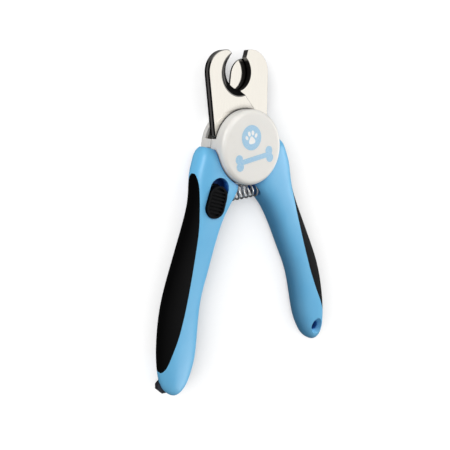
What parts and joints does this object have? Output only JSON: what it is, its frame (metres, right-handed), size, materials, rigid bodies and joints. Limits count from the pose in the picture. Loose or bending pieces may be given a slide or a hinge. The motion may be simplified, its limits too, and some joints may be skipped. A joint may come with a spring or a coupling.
{
  "type": "pet nail clipper",
  "caption": "Plier-type pet nail clipper with notched bypass jaws, round pivot caps, rubber-backed curved handles, slide lock, swing-out guard and a file stowed in one handle.",
  "frame": {"origin": "on the pivot's axis, in the flat face of the rear cap, which rests on the table", "axes": "+Z along the pivot towards the front cap, +Y towards the jaws, +X to the right as seen from the front cap"},
  "size_m": [0.1058, 0.1552, 0.0184],
  "materials": {
    "blue_plastic": "satin soft-touch moulding with a fine texture",
    "black_rubber": "matt overmoulded rubber",
    "white_plastic": "satin white moulding",
    "black_plastic": "fine matt moulding",
    "grey_plastic": "matt moulding",
    "polished_steel": "mirror polished stainless steel",
    "file_steel": "cross-cut file surface",
    "spring_steel": "bright drawn wire",
    "zinc_steel": "zinc plated steel"
  },
  "bodies": {
    "left_half": {"rear_blade": "polished_steel", "left_handle_front": "blue_plastic", "left_handle_rear": "blue_plastic", "left_grip": "black_rubber", "left_handle_screws": "zinc_steel", "rear_cap": "white_plastic", "pivot_bolt": "zinc_steel", "pivot_nut": "zinc_steel", "pivot_washer": "zinc_steel", "wave_washer": "spring_steel", "lock_detent_spring": "spring_steel", "return_spring": "spring_steel"},
    "right_half": {"front_blade": "polished_steel", "right_handle_front": "blue_plastic", "right_handle_rear": "blue_plastic", "right_grip": "black_rubber", "right_handle_screws": "zinc_steel", "front_cap": "white_plastic"},
    "lock": {"lock_button": "black_plastic", "lock_latch": "blue_plastic"},
    "guard": {"safety_guard": "polished_steel"},
    "nail_file": {"file_blade": "file_steel", "file_grip": "grey_plastic"}
  },
  "joints": [
    {"name": "handle_pivot", "type": "hinge", "parent": "left_half", "child": "right_half", "pos_m": [0, 0, 0.0085], "axis": [0, 0, -1], "range_deg": [0, 28], "stiffness_Nm_per_rad": 0.5, "springref_deg": -34.38, "deforming": ["return_spring"]},
    {"name": "lock_slide", "type": "slide", "parent": "left_half", "child": "lock", "axis": [0.345, 0.9386, 0], "range_m": [0, 0.0035]},
    {"name": "guard_swing", "type": "hinge", "parent": "left_half", "child": "guard", "pos_m": [0, 0, 0.0044], "axis": [0, 0, 1], "range_deg": [-38, 12]},
    {"name": "file_slide", "type": "slide", "parent": "left_half", "child": "nail_file", "axis": [-0.15, -0.9887, 0], "range_m": [0, 0.058]}
  ]
}
